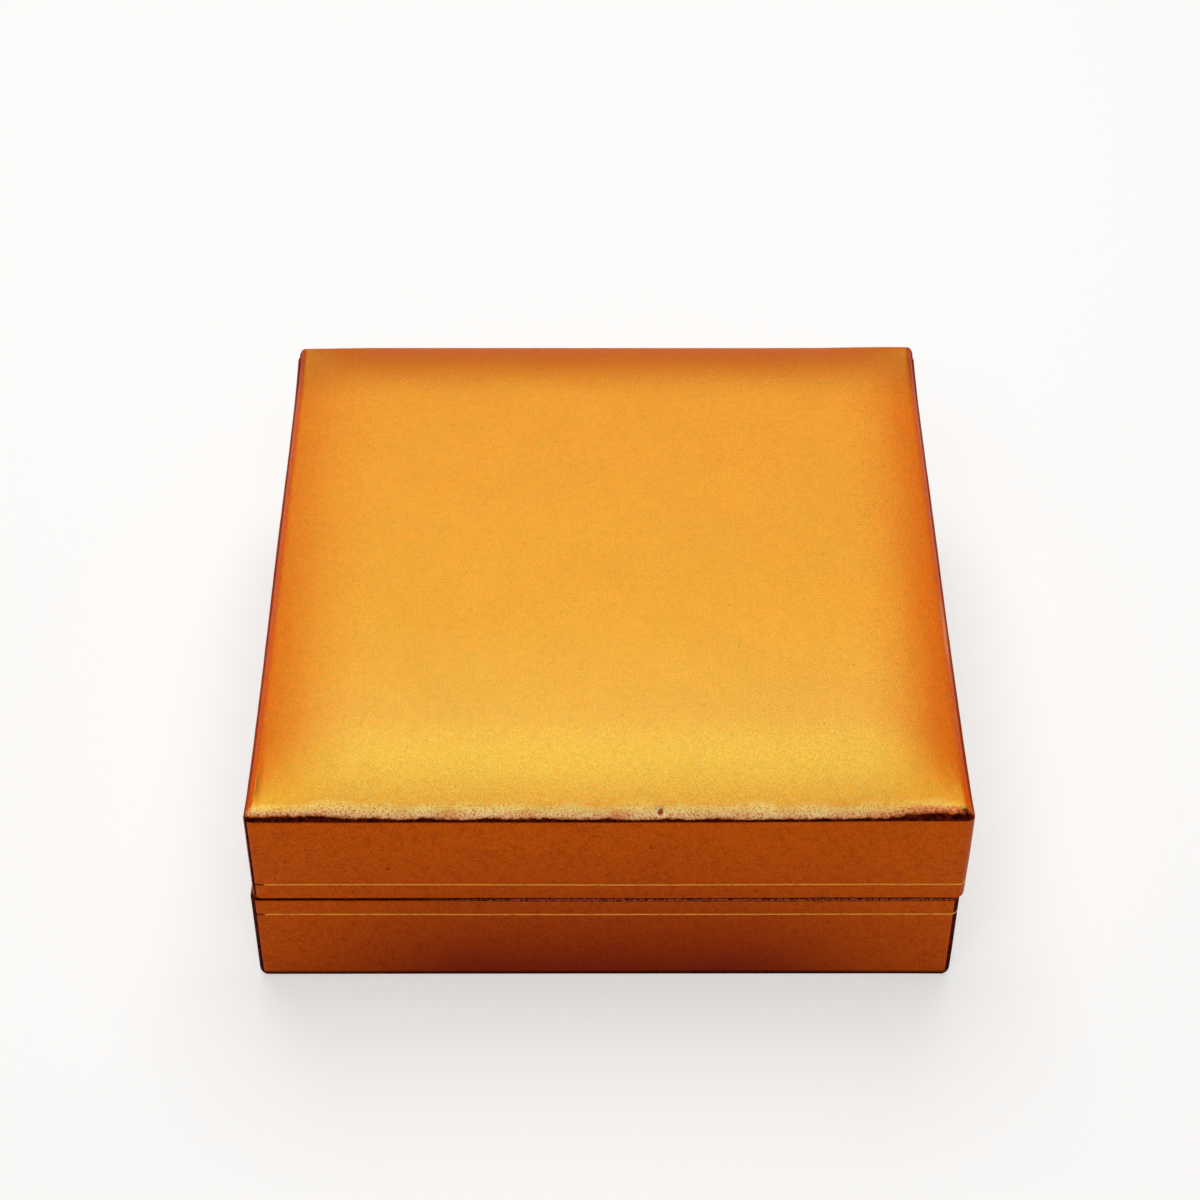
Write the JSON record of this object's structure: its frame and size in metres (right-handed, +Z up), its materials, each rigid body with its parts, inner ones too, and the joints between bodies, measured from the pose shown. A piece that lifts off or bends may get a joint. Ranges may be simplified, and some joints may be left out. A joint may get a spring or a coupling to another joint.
{
  "type": "necklace box",
  "caption": "Square presentation case for a necklace set, covered in gold-orange leatherette, with a padded lid on sprung hinges.",
  "frame": {"origin": "on the table, under the middle of the base", "axes": "+X to the right, -Y to the front where the lid opens, +Y to the hinges at the back, +Z up"},
  "size_m": [0.1507, 0.1516, 0.0571],
  "materials": {
    "leatherette": "gold-orange metallic leatherette paper with a fine grain",
    "moulded_shell": "plain moulded plastic, hidden by its covering",
    "card": "grey board",
    "foam": "soft open foam",
    "velvet": "ivory velvet",
    "satin": "ivory satin",
    "under_paper": "thin dark brown paper",
    "brassed_steel": "brass-plated steel",
    "spring_steel": "bright spring steel"
  },
  "bodies": {
    "base": {"base_underside": "under_paper", "base_cover": "leatherette", "base_shell": "moulded_shell", "base_lining_front": "velvet", "base_lining_back": "velvet", "base_lining_left": "velvet", "base_lining_right": "velvet", "insert_board": "card", "insert_foam": "foam", "insert_velvet": "velvet", "hinge_left_base_leaf": "brassed_steel", "hinge_left_pin": "spring_steel", "hinge_left_spring": "spring_steel", "hinge_left_base_rivet_left": "brassed_steel", "hinge_left_base_rivet_right": "brassed_steel", "hinge_right_base_leaf": "brassed_steel", "hinge_right_pin": "spring_steel", "hinge_right_spring": "spring_steel", "hinge_right_base_rivet_left": "brassed_steel", "hinge_right_base_rivet_right": "brassed_steel"},
    "lid": {"lid_shell": "moulded_shell", "lid_wall_cover": "leatherette", "lid_lining_front": "velvet", "lid_lining_back": "velvet", "lid_lining_left": "velvet", "lid_lining_right": "velvet", "top_panel_board": "card", "top_panel_foam": "foam", "top_panel_cover": "leatherette", "lid_cushion_board": "card", "lid_cushion_foam": "foam", "lid_cushion_satin": "satin", "hinge_left_lid_leaf": "brassed_steel", "hinge_left_lid_rivet_left": "brassed_steel", "hinge_left_lid_rivet_right": "brassed_steel", "hinge_right_lid_leaf": "brassed_steel", "hinge_right_lid_rivet_left": "brassed_steel", "hinge_right_lid_rivet_right": "brassed_steel"}
  },
  "joints": [
    {"name": "lid_hinge", "type": "hinge", "parent": "base", "child": "lid", "pos_m": [0, 0.0753, 0.02655], "axis": [-1, 0, 0], "range_deg": [0, 100], "deforming": ["hinge_left_spring", "hinge_right_spring"]}
  ]
}
